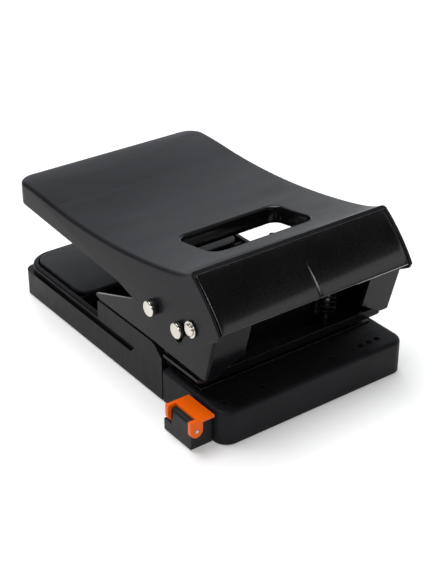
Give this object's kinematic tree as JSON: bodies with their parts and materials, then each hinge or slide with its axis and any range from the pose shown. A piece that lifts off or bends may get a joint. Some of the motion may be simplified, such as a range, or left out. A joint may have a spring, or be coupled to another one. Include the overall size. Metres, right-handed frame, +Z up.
{
  "type": "hole punch",
  "caption": "Heavy-duty desktop hole punch with a long sheet-metal lever handle, carrying window, pull-out paper guide with hinged clip, and rear chip drawer.",
  "frame": {"origin": "on the table under the middle of the base, at the underside of the centre pad", "axes": "+Z up, -Y towards the paper side, +Y towards the chip drawer and the handle's free end, +X to the right"},
  "size_m": [0.177, 0.2455, 0.111],
  "materials": {
    "zinc_steel": "dull zinc plate",
    "rubber": "matte",
    "table_plastic": "fine moulded grain",
    "screw_steel": "zinc plated",
    "frame_steel": "gloss black paint",
    "tool_steel": "ground",
    "bush_brass": "machined",
    "nickel": "bright nickel",
    "spring_steel": "oiled wire",
    "handle_paint": "satin dark gray paint",
    "flap_gloss": "gloss black with a fine sparkle",
    "collar_black": "matte",
    "latch_orange": "satin moulded",
    "drawer_plastic": "satin moulded",
    "deck_plastic": "satin moulded"
  },
  "bodies": {
    "base": {"base_plate": "zinc_steel", "rubber_feet": "rubber", "paper_table": "table_plastic", "table_screws": "screw_steel", "die_plate": "frame_steel", "die_bushes": "tool_steel", "stripper_plate": "frame_steel", "guide_bushes": "bush_brass", "paper_stop": "frame_steel", "left_cheek": "frame_steel", "right_cheek": "frame_steel", "frame_rivets": "screw_steel", "frame_screws": "screw_steel", "pivot_shaft": "nickel", "e_clips": "nickel", "left_return_spring": "spring_steel", "right_return_spring": "spring_steel"},
    "handle": {"handle_shell": "handle_paint", "front_flap": "flap_gloss", "flap_brackets": "flap_gloss", "window_bezel": "flap_gloss"},
    "press": {"press_yoke": "zinc_steel", "drive_bar": "nickel", "punch_bar": "nickel", "bar_collars": "collar_black", "left_punch": "tool_steel", "right_punch": "tool_steel"},
    "guide": {"guide_ruler": "table_plastic", "guide_end_block": "table_plastic", "latch_pin": "nickel"},
    "clip": {"latch": "latch_orange"},
    "drawer": {"chip_drawer": "drawer_plastic", "drawer_deck": "deck_plastic"}
  },
  "joints": [
    {"name": "handle_hinge", "type": "hinge", "parent": "base", "child": "handle", "pos_m": [0, -0.0925, 0.0734], "axis": [1, 0, 0], "range_deg": [-12.5, 0]},
    {"name": "press_slide", "type": "slide", "parent": "base", "child": "press", "axis": [0, 0, 1], "range_m": [-0.009, 0], "stiffness_N_per_m": 3000, "springref_m": 0.012, "deforming": ["left_return_spring", "right_return_spring"]},
    {"name": "guide_slide", "type": "slide", "parent": "base", "child": "guide", "axis": [-1, 0, 0], "range_m": [0, 0.1]},
    {"name": "clip_hinge", "type": "hinge", "parent": "guide", "child": "clip", "pos_m": [-0.0898, -0.1007, 0.0158], "axis": [0, -1, 0], "range_deg": [0, 100]},
    {"name": "drawer_slide", "type": "slide", "parent": "base", "child": "drawer", "axis": [0, 1, 0], "range_m": [0, 0.082]}
  ],
  "couplings": [
    {"joint": "press_slide", "follows": "handle_hinge", "m_per_rad": 0.0404}
  ]
}
